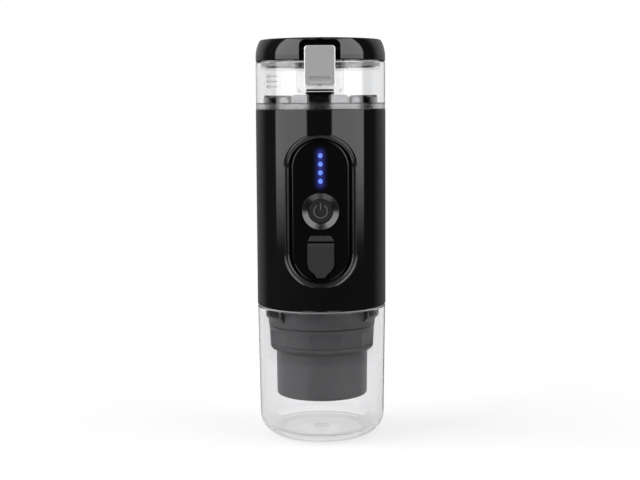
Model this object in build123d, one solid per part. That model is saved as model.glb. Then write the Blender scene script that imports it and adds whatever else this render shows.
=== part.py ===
from build123d import *
from math import asin, atan2, cos, degrees, radians, sin, sqrt
import os

# A portable battery coffee machine that stands on its own clear cup, in millimetres.
# The origin is the centre of the cup's foot, +Z is up and the control panel faces -Y.
# A "reach" is a distance from the vertical axis towards the front, so a reach of 5 is y = -5.
# A "bearing" is an angle round the axis, 0 at the front and growing towards the right side.

# Fits
slip = 0.3                     # gap between pieces that move past each other
seat = 0.05                    # gap between pieces that sit together
pin_gap = 0.05                 # radial gap of a pin in its bore
overrun = 1.0                  # how far a cut runs past the face that it opens
root_depth = 0.8               # how far a lug or boss is rooted in its piece

# Heights of the outside, from the table up
cup_height = 73.3
cup_seal_height = 0.5
body_height = 108.9
tank_height = 25.7
lid_height = 13.1

# Cup
cup_step = 0.2                 # rim stands in from the body's skin
cup_taper = 1.1                # radius lost from the rim to the foot
cup_wall = 2.2
cup_floor = 3.7
cup_corner = 12.5
cup_inner_corner = 7.0
cup_rim_round = 0.7
dimple_radius = 4.8
dimple_depth = 0.8
cup_seal_inset = 0.6

# Body shell and its oval recess
body_radius = 36.0
body_wall = 2.4
body_low_round = 0.9
body_top_round = 0.5
recess_half_width = 15.45
recess_half_height = 38.75
recess_round = 2.9             # of the lip that rolls in to the panel
recess_wall = 5.6              # thickness of the shell round the recess
recess_border = 3.2
recess_centre_share = 0.5      # centre of the recess, as a share of the body's height

# Control panel
panel_inset = 3.4              # flat front behind the body's skin
panel_depth = 7.1
panel_front = 2.2
panel_skirt = 1.6
panel_round = 0.9
light_radius = 1.25
light_pitch = 4.57
light_count = 4
light_offset = 1.4             # row below the middle between the button and the panel's top
board_thickness = 1.6
board_inset = 1.2
board_gap = 0.1

# Power button
bezel_radius = 10.0
bezel_lip = 1.4
bezel_wall = 1.8
bezel_rise = 0.7
bezel_edge = 0.4
bezel_rim = 0.2
bezel_cone = 1.45             # depth of the cone down to the cap
bezel_seat = 0.4
cap_lift = 0.15                # above the foot of the cone
cap_depth = 2.6
cap_round = 0.35
cap_dish = 0.25
cap_flange = 0.7
cap_flange_height = 0.6
stem_radius = 1.5
button_travel = 0.9
switch_side = 6.0
switch_height = 2.4
plunger_radius = 1.2

# Charging port and its flap
flap_half_width = 7.2
flap_tip_margin = 2.5          # from the tip to the bottom of the panel
flap_shoulder = 5.8            # height of the curved shoulder
flap_tab = 2.35                # height of the pull tab at the tip
flap_tab_half_width = 3.6
flap_tip_half_width = 2.4
flap_tip_round = 1.3
flap_thickness = 2.3
flap_rise = 0.8
flap_edge = 0.35
anchor_gap = 3.2               # from the button's ring
hinge_groove = 0.9
anchor_height = 3.0
anchor_slope = 1.8
anchor_round = 1.2
anchor_stem_radius = 1.6
notch_half_width = 4.6
notch_height = 5.0
notch_drop = 0.7               # below the tip of the flap
plug_length = 1.0
socket_width = 8.94
socket_height = 3.26
socket_wall = 0.3
socket_tongue_width = 6.7
socket_tongue_height = 0.7
socket_level_share = 0.825     # of the flap's straight side, from its hinge line
socket_gap = 0.25

# Tank
tank_step = 0.2                # skin stands in from the body's skin
tank_wall = 2.2
tank_flange_height = 2.9
tank_flange_width = 3.6
tank_edge = 0.5
pocket_half_width = 11.0
pocket_low = 9.1               # bottom of the latch pocket above the tank's foot
pocket_top_margin = 2.1        # top of the latch pocket below the top of the lid
pocket_low_round = 1.8
pocket_high_round = 3.2
pocket_depth = 6.4
pocket_wall = 1.6
pocket_floor = 1.2
catch_half_width = 4.5
catch_height = 1.6
catch_depth = 1.0
catch_level = 15.8             # bottom of the catch above the tank's foot

# Ring, pan and heater at the bottom of the tank
ring_clear = 0.4               # from the tank's flange
ring_thickness = 1.2
ring_top = 7.7                 # above the tank's foot
ring_gap = 1.9
ring_round = 2.2
ring_foot = 2.6                # height of the uncut foot above the tank's foot
ring_step = 1.3                # every other segment is this much lower
ring_segments = 6
pan_thickness = 1.0
pan_seal_height = 2.0
heater_inset = 11.3            # from the edge of the pan to the middle of the tube
heater_tube = 2.4
heater_open_angle = 70.0
sensor_radius = 2.6
sensor_height = 4.0
stand_wall = 2.0

# Lid, hinge and latch
lid_gap = 0.4
lid_foot_round = 0.5
lid_side = 3.2
lid_shoulder_inset = 2.5
lid_crown = 1.0                # height of the dome above the shoulder
lid_corner = 1.2
lid_wall = 2.0
liner_top = 2.4
liner_skirt_wall = 2.0
plug_drop = 4.2
plug_gap = 0.6
notch_gap = 0.8
lid_seal_height = 1.8
lid_seal_depth = 0.9
lid_seal_level = 2.6           # bottom of the seal below the lid's foot
knuckle_radius = 2.4
knuckle_half_width = 4.2
ear_half_width = 9.0
hinge_inset = 2.6              # hinge pin behind the tank's skin
hinge_level = 3.0              # hinge pin above the lid's foot
pin_radius = 1.0
latch_side_gap = 2.8           # between the latch and the wall of its pocket
latch_low = 10.9               # bottom of the latch above the tank's foot
latch_top_gap = 3.2            # between the latch and the top of its pocket
latch_round = 1.8
latch_thickness = 2.4
latch_edge = 0.3
latch_lip = 1.7                # height of the slope at its lower end
latch_lip_depth = 1.1
latch_lean = 60.0              # of its edge, from straight ahead
latch_notch = 0.9              # radius of the finger notch above that slope
latch_knuckle = 1.6
latch_pivot_inset = 3.8        # latch pin behind the tank's skin
latch_pin_radius = 0.7
latch_pin_grip = 1.0           # of the pin's ends in the lid
hook_half_width = 4.0
hook_height = 2.0
hook_gap = 1.0
groove_width = 11.4
groove_height = 1.8
groove_depth = 0.6
groove_level = 5.4             # above the bottom of the latch

# Base ring that the cup slips over
spigot_inset = 3.6             # from the cup's bore
spigot_height = 11.0
spigot_wall = 2.0
base_flange = 3.0
ledge_width = 1.5
ledge_height = 4.0
block_inset = 1.4              # from the cup's bore
block_low = 8.2                # below the bottom of the body
block_slope = 2.6
block_high = 0.8
block_angle = 28.0
block_bearing = -56.0
pad_angle = 21.0
pad_depth = 1.4
pad_rise = 0.3
pad_margin = 0.9
spigot_edge = 0.5

# Brew head
brew_plate_gap = 0.2
brew_plate_low = 1.8           # below the bottom of the body
brew_plate_drop = 0.5          # top of the plate below the deck
brew_seal_inset = 0.2
screen_inset = 1.5             # from the wall of the basket
screen_thickness = 0.6
screen_hole = 0.8
screen_pitch = 4.4
screen_gap = 0.7

# Capsule holder
holder_drop = 51.0             # foot of the holder below the bottom of the body
collar_drop = 25.0             # foot of the collar below the bottom of the body
collar_low_inset = 1.1         # from the skin of the spigot above it
collar_high_inset = 0.4
collar_round = 2.2
collar_flat_depth = 0.7
collar_flat_margin = 2.4
collar_flats = 6
neck_high = 3.0                # top of the neck below the bottom of the body
neck_wall = 3.6
neck_mouth_step = 1.4
neck_mouth_depth = 1.1
holder_lug_gap = 0.4
holder_lug_height = 2.6
holder_lug_angle = 24.0
holder_turn = 30.0
slot_margin_angle = 6.0
holder_cup_inset = 0.4         # from the skin of the neck
holder_cup_taper = 0.4
holder_cup_wall = 2.0
holder_cup_floor = 2.4
holder_cup_round = 1.5
holder_cup_overlap = 9.4
outlet_radius = 5.5
nozzle_bore = 2.0
nozzle_flange = 8.0
nozzle_flange_height = 1.2
nozzle_height = 4.0
basket_wall = 0.7
basket_floor_gap = 8.9         # from the nozzle's tip to the basket
basket_flange = 0.75
basket_lip = 1.8
filter_thickness = 0.5
filter_hole = 0.6
filter_pitch = 3.4

# Chassis, cells and pump inside the body
deck_thickness = 2.5
deck_gap = 0.2
cradle_thickness = 2.0
cradle_rim = 8.0
cradle_rim_wall = 1.2
cell_radius = 9.2
cell_height = 65.2
cell_round = 1.0
cell_cap_radius = 3.0
cell_cap_height = 0.8
cell_side_gap = 0.8            # from the bore of the body
cell_spacing = 2.29            # between two cells
cell_gap = 0.2
pump_front_gap = 2.5           # from the control board
pump_back_gap = 0.45           # from its rear corners to the walls round the cells
pump_head_height = 22.0
pump_edge = 2.0
motor_inset = 0.8
motor_height = 31.0
motor_round = 1.5
port_level = 10.0              # hose ports above the foot of the pump
barb_radius = 1.7
barb_length = 3.2
hose_radius = 3.0
hose_bore = 1.8
hose_bend = 6.0
hose_inset = 1.12              # from the bore of the base ring
screw_head_radius = 2.3
screw_head_height = 1.6
screw_radius = 1.25
screw_length = 4.5
screw_inset = 3.0              # from the bore of the body
screw_count = 4
screw_bearing = 45.0

# Radii and reaches that follow from the sizes above
body_bore = body_radius - body_wall
cup_rim_radius = body_radius - cup_step
cup_bore = cup_rim_radius - cup_wall
tank_radius = body_radius - tank_step
tank_bore = tank_radius - tank_wall
tank_flange_inner = tank_radius - tank_flange_width
pocket_reach = tank_radius - pocket_depth
hinge_y = tank_radius - hinge_inset
lid_shoulder_radius = tank_radius - lid_shoulder_inset
latch_face = tank_radius
latch_half_width = pocket_half_width - latch_side_gap
latch_pivot_reach = tank_radius - latch_pivot_inset
pin_half = pocket_half_width + latch_pin_grip
ring_radius = tank_flange_inner - ring_clear
pan_radius = body_bore - slip
heater_radius = pan_radius - heater_inset
spigot_radius = cup_bore - spigot_inset
spigot_bore = spigot_radius - spigot_wall
ledge_radius = spigot_bore - ledge_width
block_radius = cup_bore - block_inset
brew_plate_radius = spigot_bore - brew_plate_gap
collar_low_radius = spigot_radius - collar_low_inset
collar_high_radius = spigot_radius - collar_high_inset
holder_lug_radius = spigot_bore - holder_lug_gap
neck_radius = ledge_radius - slip
neck_bore = neck_radius - neck_wall
neck_mouth = neck_bore + neck_mouth_step
holder_cup_high_radius = neck_radius - holder_cup_inset
holder_cup_low_radius = holder_cup_high_radius - holder_cup_taper
basket_radius = neck_bore - slip
screen_radius = basket_radius - basket_wall - screen_inset
screw_orbit = body_bore - screw_inset

# Control panel and what it carries
panel_half_width = recess_half_width - seat
panel_half_height = recess_half_height - seat
panel_reach = body_radius - panel_inset
board_front = panel_reach - panel_depth - board_gap
board_clear = board_front - board_thickness - slip
bezel_spigot = bezel_radius - bezel_lip
bezel_bore = bezel_spigot - bezel_wall
light_centre = (bezel_radius + panel_half_height) / 2 - light_offset
flap_hinge_drop = bezel_radius + anchor_gap + anchor_height + hinge_groove
flap_drop = panel_half_height - flap_hinge_drop - flap_thickness / 2 - flap_tip_margin
flap_side = flap_drop - flap_shoulder - flap_tab
anchor_top_half_width = flap_half_width - anchor_slope
socket_drop = flap_thickness / 2 + flap_side * socket_level_share

# Cells round the back of the body, and the pump in the room that they leave behind the board
cell_orbit = body_bore - cell_radius - cell_side_gap
cell_step = 2 * degrees(asin((cell_radius + cell_spacing / 2) / cell_orbit))
cell_bearings = (180, 180 - cell_step, cell_step - 180)
side_cell_x = cell_orbit * sin(radians(cell_step))
pump_front = board_clear - pump_front_gap
pump_room = pump_front + cell_orbit * cos(radians(cell_step))
pump_clear = cell_radius + cell_gap + cradle_rim_wall + pump_back_gap
pump_lean = side_cell_x + 2 * pump_room
pump_rest = side_cell_x ** 2 + pump_room ** 2 - pump_clear ** 2
pump_side = 2 * (pump_lean - sqrt(pump_lean ** 2 - 5 * pump_rest)) / 5
pump_y = pump_side / 2 - pump_front
motor_radius = pump_side / 2 - motor_inset
hose_orbit = spigot_bore - hose_radius - hose_inset
hose_offset = sqrt(hose_orbit ** 2 - pump_y ** 2)
drain_point = (-hose_offset, pump_y)
brew_inlet = (hose_offset, pump_y)

# Levels from the table up
body_z = cup_height + cup_seal_height
tank_z = body_z + body_height
lid_z = tank_z + tank_height
panel_z = body_z + body_height * recess_centre_share
spigot_z = body_z - spigot_height
ledge_z = spigot_z + ledge_height
holder_low = body_z - holder_drop
collar_low = body_z - collar_drop
nozzle_top = holder_low + holder_cup_floor + seat + nozzle_height
mouth_z = body_z - neck_high - neck_mouth_depth
basket_low = nozzle_top + basket_floor_gap - seat
deck_z = body_z + base_flange
brew_low = body_z - brew_plate_low
brew_high = deck_z - brew_plate_drop
cradle_z = deck_z + deck_thickness
cell_z = cradle_z + cradle_thickness
stand_z = cell_z + cell_height + cell_cap_height + cell_gap + cradle_thickness
pan_z = tank_z - pan_seal_height - pan_thickness
pan_top = pan_z + pan_thickness
groove_z = panel_z - flap_hinge_drop
anchor_z = groove_z + hinge_groove + anchor_height / 2
hose_port_z = cell_z + port_level
hinge_z = lid_z + hinge_level
pocket_top = lid_z + lid_height - pocket_top_margin
latch_top = pocket_top - latch_top_gap
pivot_z = latch_top - latch_knuckle
three = (0.0, 120.0, 240.0)


def turned(points):
    """Solid of revolution from (radius, height[, corner round]) points of half a section."""
    corners = [(point[0], point[1]) for point in points]
    rounds = [point[2] if len(point) > 2 else 0 for point in points]
    outline = make_face(FilletPolyline(*corners, radius=rounds, close=True))
    return revolve(Plane.XZ * outline, Axis.Z)


def ring(outer, inner, low, high):
    return turned([(inner, low), (outer, low), (outer, high), (inner, high)])


def disc(radius, low, high):
    return Pos(0, 0, low) * Cylinder(radius, high - low, align=(Align.CENTER, Align.CENTER, Align.MIN))


def swept(outline, bearing, angle):
    """A half section swept round the axis through an angle, its middle at the bearing."""
    return Rot(0, 0, bearing - 90 - angle / 2) * revolve(Plane.XZ * outline, Axis.Z, revolution_arc=angle)


def sector(points, bearing, angle):
    return swept(make_face(Polyline(*points, close=True)), bearing, angle)


def arc_block(inner, outer, low, high, bearing, angle):
    return sector([(inner, low), (outer, low), (outer, high), (inner, high)], bearing, angle)


def prism(sketch, z, back, front):
    """An upright sketch, centred at a height, extruded between two reaches."""
    plane = Plane(origin=(0, -back, z), x_dir=(1, 0, 0), z_dir=(0, -1, 0))
    return extrude(plane * sketch, front - back)


def bevelled(sketch, z, back, front, edge, lean=45):
    """The same with a bevel all round its front that leans in by an angle."""
    plane = Plane(origin=(0, edge - front, z), x_dir=(1, 0, 0), z_dir=(0, -1, 0))
    return prism(sketch, z, back, front - edge) + extrude(plane * sketch, edge, taper=lean)


def oval(half_width, half_height):
    return SlotOverall(2 * half_height, 2 * half_width, rotation=90)


def front_turned(points, z):
    """Solid of revolution about a front-to-back line, from (radius, reach[, round]) points."""
    return Pos(0, 0, z) * Rot(90, 0, 0) * turned(points)


def cross_pin(radius, half_width, y, z):
    return Pos(0, y, z) * Rot(0, 90, 0) * Cylinder(radius, 2 * half_width)


def block(low, high):
    """Box between two corners."""
    size = [b - a for a, b in zip(low, high)]
    middle = [(a + b) / 2 for a, b in zip(low, high)]
    return Pos(*middle) * Box(*size)


def spot(orbit, bearing):
    return orbit * sin(radians(bearing)), -orbit * cos(radians(bearing))


def hole_grid(limit, pitch, radius, low, high):
    """Staggered round holes inside a limit circle, as one cutting tool."""
    rows = int(limit / pitch) + 1
    row_share = cos(radians(30))
    centres = []
    for row in range(-rows, rows + 1):
        for column in range(-rows, rows + 1):
            x = (column + (row % 2) / 2) * pitch
            y = row * pitch * row_share
            if sqrt(x * x + y * y) + radius < limit:
                centres.append((x, y))
    holes = Sketch() + [Pos(x, y) * Circle(radius) for x, y in centres]
    return extrude(Pos(0, 0, low) * holes, high - low)


def cup():
    foot = cup_rim_radius - cup_taper
    shell = turned([
        (0, 0),
        (foot, 0, cup_corner),
        (cup_rim_radius, cup_height, cup_rim_round),
        (cup_bore, cup_height, cup_rim_round),
        (foot - cup_wall, cup_floor, cup_inner_corner),
        (0, cup_floor),
    ])
    ball = (dimple_radius ** 2 + dimple_depth ** 2) / (2 * dimple_depth)
    return shell - Pos(0, 0, cup_floor - dimple_depth + ball) * Sphere(ball)


def cup_seal():
    return ring(body_radius - cup_seal_inset, cup_bore, cup_height, body_z)


def base_ring():
    core = turned([
        (ledge_radius, spigot_z),
        (spigot_radius, spigot_z, spigot_edge),
        (spigot_radius, body_z),
        (body_bore - seat, body_z),
        (body_bore - seat, deck_z),
        (spigot_bore, deck_z),
        (spigot_bore, ledge_z),
        (ledge_radius, ledge_z),
    ])
    low = body_z - block_low
    high = body_z - block_high
    recess_low = low + block_slope + pad_margin
    inside = spigot_radius - root_depth
    section = [
        (inside, low),
        (spigot_radius, low),
        (block_radius, low + block_slope),
        (block_radius, high),
        (inside, high),
    ]
    for turn in three:
        core += sector(section, block_bearing + turn, block_angle)
    for turn in three:
        core -= arc_block(block_radius - pad_depth, block_radius + overrun, recess_low,
                          high - pad_margin, block_bearing + turn, pad_angle)
        core -= arc_block(ledge_radius - overrun, holder_lug_radius + slip, spigot_z - overrun,
                          ledge_z + seat, holder_turn + turn, holder_lug_angle + slot_margin_angle)
    for x, y in screw_spots():
        core -= Pos(x, y, 0) * disc(screw_radius + seat, cradle_z - screw_length - seat, deck_z + overrun)
    return core


def grip_pads():
    low = body_z - block_low + block_slope + pad_margin + seat
    high = body_z - block_high - pad_margin - seat
    inner = block_radius - pad_depth + seat
    angle = pad_angle - degrees(2 * seat / block_radius)
    pads = []
    for turn in three:
        pads.append(arc_block(inner, block_radius + pad_rise, low, high, block_bearing + turn, angle))
    return Compound(pads)


def brew_head():
    x, y = brew_inlet
    head = disc(brew_plate_radius, brew_low, brew_high)
    head += disc(screen_radius - root_depth, brew_low - screen_gap, brew_low)
    return head + Pos(x, y, 0) * disc(barb_radius, brew_high - root_depth, cell_z)


def brew_seal():
    return ring(neck_radius - brew_seal_inset, neck_bore, body_z - neck_high + slip, brew_low)


def shower_screen():
    high = brew_low - screen_gap
    low = high - screen_thickness
    plate = disc(screen_radius, low, high)
    return plate - hole_grid(screen_radius - screen_pitch / 2, screen_pitch, screen_hole,
                             low - overrun, high + overrun)


def holder_ring():
    collar_top = spigot_z - slip
    neck_top = body_z - neck_high
    joint_top = collar_low + holder_cup_overlap + seat
    sleeve = holder_cup_high_radius + 2 * seat
    core = turned([
        (sleeve, collar_low),
        (collar_low_radius, collar_low, collar_round),
        (collar_high_radius, collar_top, spigot_edge),
        (neck_radius, collar_top),
        (neck_radius, neck_top),
        (neck_mouth, neck_top),
        (neck_mouth, mouth_z),
        (neck_bore, mouth_z),
        (neck_bore, joint_top),
        (sleeve, joint_top),
    ])
    lug_low = ledge_z + slip
    for turn in three:
        core += arc_block(neck_radius - root_depth, holder_lug_radius, lug_low,
                          lug_low + holder_lug_height, turn, holder_lug_angle)
    flat_reach = collar_low_radius - collar_flat_depth
    flat = block((-collar_high_radius, -collar_high_radius - overrun, collar_low + collar_flat_margin),
                 (collar_high_radius, -flat_reach, collar_top - collar_flat_margin))
    for index in range(collar_flats):
        core -= Rot(0, 0, block_bearing + index * 360 / collar_flats) * flat
    return core


def holder_cup():
    high = collar_low + holder_cup_overlap
    return turned([
        (outlet_radius, holder_low),
        (holder_cup_low_radius, holder_low, holder_cup_round),
        (holder_cup_high_radius, high),
        (holder_cup_high_radius - holder_cup_wall, high),
        (holder_cup_low_radius - holder_cup_wall, holder_low + holder_cup_floor),
        (outlet_radius, holder_low + holder_cup_floor),
    ])


def outlet_nozzle():
    floor_top = holder_low + holder_cup_floor + seat
    return turned([
        (nozzle_bore, holder_low),
        (outlet_radius - seat, holder_low),
        (outlet_radius - seat, floor_top),
        (nozzle_flange, floor_top),
        (nozzle_flange, floor_top + nozzle_flange_height),
        (outlet_radius - seat, floor_top + nozzle_flange_height),
        (nozzle_bore + root_depth, nozzle_top),
        (nozzle_bore, nozzle_top),
    ])


def coffee_basket():
    flange_low = mouth_z + seat
    inner = basket_radius - basket_wall
    return turned([
        (inner - basket_lip, basket_low),
        (basket_radius, basket_low),
        (basket_radius, flange_low),
        (neck_mouth - seat, flange_low),
        (neck_mouth - seat, flange_low + basket_flange),
        (inner, flange_low + basket_flange),
        (inner, basket_low + basket_wall),
        (inner - basket_lip, basket_low + basket_wall),
    ])


def basket_filter():
    low = basket_low + basket_wall + seat
    radius = basket_radius - basket_wall - seat
    plate = disc(radius, low, low + filter_thickness)
    return plate - hole_grid(radius - basket_lip, filter_pitch, filter_hole,
                             low - overrun, low + filter_thickness + overrun)


def body_shell():
    tube = turned([
        (body_bore, body_z),
        (body_radius, body_z, body_low_round),
        (body_radius, tank_z, body_top_round),
        (body_bore, tank_z),
    ])
    backing = prism(oval(recess_half_width + recess_border, recess_half_height + recess_border),
                    panel_z, 0, body_radius)
    backing &= ring(body_bore + root_depth, body_radius - recess_wall, cradle_z + slip, pan_z - slip)
    tube += backing
    tube -= prism(oval(recess_half_width, recess_half_height), panel_z, 0, body_radius + overrun)
    rim = []
    for edge in tube.edges():
        points = [edge @ share for share in (0.0, 0.5, 1.0)]
        on_skin = all(abs(sqrt(p.X ** 2 + p.Y ** 2) - body_radius) < seat for p in points)
        inside = all(abs(p.Z - panel_z) < recess_half_height + seat for p in points)
        if on_skin and inside:
            rim.append(edge)
    return fillet(rim, recess_round)


def flap_outline():
    """Outline of the flap from just above its hinge line, at height 0, down to the tip."""
    side = -flap_side
    neck = side - flap_shoulder
    edges = Curve() + [
        Line((flap_half_width, flap_edge), (flap_half_width, side)),
        TangentArc((flap_half_width, side), (flap_tab_half_width, neck), tangent=(0, -1)),
        Line((flap_tab_half_width, neck), (flap_tip_half_width, -flap_drop)),
    ]
    edges += mirror(edges, about=Plane.YZ)
    edges += Line((-flap_half_width, flap_edge), (flap_half_width, flap_edge))
    edges += Line((-flap_tip_half_width, -flap_drop), (flap_tip_half_width, -flap_drop))
    face = make_face(edges)
    return fillet([v for v in face.vertices() if abs(v.Y + flap_drop) < seat], flap_tip_round)


def port_flap():
    back = panel_reach + flap_rise - flap_thickness
    front = panel_reach + flap_rise
    nose = flap_thickness / 2
    axis_z = groove_z - nose
    plate = bevelled(flap_outline(), axis_z, back, front, flap_edge)
    plate += cross_pin(nose, flap_half_width, -(front - nose), axis_z)
    plug = SlotOverall(socket_width - 4 * slip, socket_height - 2 * slip)
    return plate + prism(plug, groove_z - socket_drop, back - plug_length, back + root_depth)


def flap_anchor():
    low = groove_z + hinge_groove
    outline = make_face(Polyline(
        (-flap_half_width, 0),
        (flap_half_width, 0),
        (anchor_top_half_width, anchor_height),
        (-anchor_top_half_width, anchor_height),
        close=True,
    ))
    top = [v for v in outline.vertices() if v.Y > anchor_height / 2]
    outline = fillet(top, anchor_round)
    tab = bevelled(outline, low, panel_reach, panel_reach + flap_rise, flap_edge)
    stem = Circle(anchor_stem_radius - seat)
    return tab + prism(stem, anchor_z, panel_reach - panel_front, panel_reach + root_depth)


def control_panel():
    back = panel_reach - panel_depth
    wall = panel_reach - panel_front
    tray = prism(oval(panel_half_width, panel_half_height), panel_z, back, panel_reach)
    rim = [e for e in tray.edges() if e.center().Y < -panel_reach + seat]
    tray = fillet(rim, panel_round)
    tray -= prism(oval(panel_half_width - panel_skirt, panel_half_height - panel_skirt), panel_z,
                  back - overrun, wall)
    out = panel_reach + overrun
    for z in light_levels():
        tray -= prism(Circle(light_radius + seat), z, wall - overrun, out)
    tray -= prism(Circle(bezel_spigot + seat), panel_z, wall - overrun, out)
    tray -= prism(Circle(bezel_radius + seat), panel_z, panel_reach - bezel_seat, out)
    axis_z = groove_z - flap_thickness / 2
    pocket_back = panel_reach + flap_rise - flap_thickness - 2 * seat
    tray -= prism(offset(flap_outline(), slip), axis_z, pocket_back, out)
    nose_room = Rectangle(2 * (flap_half_width + slip), flap_thickness + hinge_groove)
    tray -= prism(nose_room, axis_z + hinge_groove / 2, pocket_back, out)
    notch = SlotOverall(2 * notch_half_width, notch_height)
    tray -= prism(notch, axis_z - flap_drop - notch_drop + notch_height / 2, pocket_back, out)
    tray -= prism(Circle(anchor_stem_radius), anchor_z, wall - overrun, out)
    mouth = SlotOverall(socket_width + 2 * socket_gap, socket_height + 2 * socket_gap)
    return tray - prism(mouth, groove_z - socket_drop, wall - overrun, out)


def light_levels():
    low = panel_z + light_centre - light_pitch * (light_count - 1) / 2
    return [low + index * light_pitch for index in range(light_count)]


def indicator_lights():
    return Compound([
        prism(Circle(light_radius), z, board_front + seat, panel_reach + seat) for z in light_levels()
    ])


def control_board():
    front = board_front
    shape = oval(panel_half_width - board_inset, panel_half_height - board_inset)
    return prism(shape, panel_z, front - board_thickness, front)


def button_bezel():
    front = panel_reach + bezel_rise
    back = panel_reach - panel_front
    return front_turned([
        (bezel_bore, back),
        (bezel_spigot, back),
        (bezel_spigot, panel_reach - bezel_seat + seat),
        (bezel_radius, panel_reach - bezel_seat + seat),
        (bezel_radius, panel_reach + bezel_edge),
        (bezel_radius - bezel_rim, front),
        (bezel_bore, front - bezel_cone),
    ], panel_z)


def power_button():
    front = panel_reach + bezel_rise - bezel_cone + cap_lift
    back = front - cap_depth
    flange = panel_reach - panel_front - slip
    cap = front_turned([
        (0, back),
        (bezel_bore - slip, back),
        (bezel_bore - slip, front, cap_round),
        (bezel_bore - slip - cap_flange, front),
        (0, front - cap_dish),
    ], panel_z)
    collar = front_turned([
        (0, flange - cap_flange_height),
        (bezel_bore + cap_flange, flange - cap_flange_height),
        (bezel_bore + cap_flange, flange),
        (bezel_bore - slip, flange),
        (bezel_bore - slip, back + root_depth),
        (0, back + root_depth),
    ], panel_z)
    tip = board_front + switch_height + button_travel + slip
    return cap + collar + prism(Circle(stem_radius), panel_z, tip, flange)


def tact_switch():
    front = board_front + seat
    case = prism(Rectangle(switch_side, switch_side), panel_z, front, front + switch_height - slip)
    return case + prism(Circle(plunger_radius), panel_z, front, board_front + switch_height)


def charge_socket():
    z = groove_z - socket_drop
    front = panel_reach + flap_rise - flap_thickness - plug_length - slip
    back = board_front + seat
    shell = prism(SlotOverall(socket_width, socket_height), z, back, front)
    bore = SlotOverall(socket_width - 2 * socket_wall, socket_height - 2 * socket_wall)
    shell -= prism(bore, z, back + root_depth, front + overrun)
    return shell + prism(Rectangle(socket_tongue_width, socket_tongue_height), z, back, front - socket_wall)


def pocket_sketch(half_width, low, high, low_round, high_round):
    return make_face(FilletPolyline(
        (-half_width, low), (half_width, low), (half_width, high), (-half_width, high),
        radius=[low_round, low_round, high_round, high_round], close=True,
    ))


def latch_pocket(grow, below, above):
    """Sketch of the latch pocket, grown by a wall; its height runs from the tank into the lid."""
    return pocket_sketch(pocket_half_width + grow, tank_z + pocket_low - below, pocket_top + above,
                         pocket_low_round, pocket_high_round + grow)


def water_tank():
    tube = turned([
        (tank_flange_inner, tank_z),
        (tank_radius, tank_z),
        (tank_radius, lid_z, tank_edge),
        (tank_bore, lid_z, tank_edge),
        (tank_bore, tank_z + tank_flange_height, tank_edge),
        (tank_flange_inner, tank_z + tank_flange_height),
    ])
    housing = prism(latch_pocket(pocket_wall, pocket_floor, 0), 0, pocket_reach - pocket_wall, body_radius)
    tube += housing & disc(tank_radius, tank_z, lid_z)
    tube -= prism(latch_pocket(0, 0, overrun), 0, pocket_reach, body_radius + overrun)
    catch_z = tank_z + catch_level
    tube += block((-catch_half_width, -pocket_reach - catch_depth, catch_z),
                  (catch_half_width, -pocket_reach + root_depth, catch_z + catch_height))
    inner = knuckle_half_width + slip
    wall = ring(body_radius + overrun, tank_bore, lid_z - 2 * root_depth, hinge_z)
    skin = disc(tank_radius, lid_z - 2 * root_depth, lid_z) + disc(body_radius + overrun, lid_z, hinge_z)
    for low, high in ((-ear_half_width, -inner), (inner, ear_half_width)):
        barrel = Pos((low + high) / 2, 0, 0) * cross_pin(knuckle_radius, (high - low) / 2, hinge_y, hinge_z)
        web = block((low, 0, lid_z - 2 * root_depth), (high, hinge_y + knuckle_radius, hinge_z)) & wall
        tube += barrel + (web & skin)
    return tube - cross_pin(pin_radius + pin_gap, ear_half_width + overrun, hinge_y, hinge_z)


def tank_ring():
    top = tank_z + ring_top
    crown = ring(ring_radius, ring_radius - ring_thickness, pan_top, top)
    slot = block((-ring_gap / 2, -ring_radius - overrun, tank_z + ring_foot),
                 (ring_gap / 2, -ring_radius / 2, top + overrun))
    span = 360 / ring_segments
    for index in range(ring_segments):
        crown -= Rot(0, 0, (index + 1 / 2) * span) * slot
    for index in range(1, ring_segments, 2):
        crown -= arc_block(ring_radius - 2 * ring_thickness, ring_radius + overrun,
                           top - ring_step, top + overrun, index * span, span)
    tips = [e for e in crown.edges().filter_by(GeomType.LINE)
            if e.center().Z > top - ring_step - seat and e.length < 2 * ring_thickness]
    return fillet(tips, ring_round)


def heater_pan():
    x, y = drain_point
    pan = disc(pan_radius, pan_z, pan_top)
    pan += Pos(x, y, 0) * disc(barb_radius, pan_z - 2 * barb_length, pan_z + seat)
    return pan - Pos(x, y, 0) * disc(barb_radius / 2, pan_z - 2 * barb_length - overrun, pan_top + overrun)


def pan_seal():
    inner = ring_radius + slip / 2
    return ring(pan_radius - seat, inner, pan_top, tank_z)


def heating_element():
    drain_bearing = degrees(atan2(-hose_offset, -pump_y))
    section = Pos(heater_radius, pan_z - heater_tube - seat) * Circle(heater_tube)
    return swept(section, drain_bearing + 180, 360 - heater_open_angle)


def heat_sensor():
    return disc(sensor_radius, pan_z - sensor_height, pan_z - seat)


def heater_stand():
    outer = body_radius - recess_wall - slip
    stand = ring(outer, outer - stand_wall, stand_z, pan_z)
    panel_top = panel_z + panel_half_height + overrun
    return stand - front_room(stand_z - overrun, panel_top)


def front_room(low, high):
    """Block of the space behind the panel that the pieces inside leave to the board."""
    return block((-body_radius, -body_radius, low), (body_radius, -board_clear, high))


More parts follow.
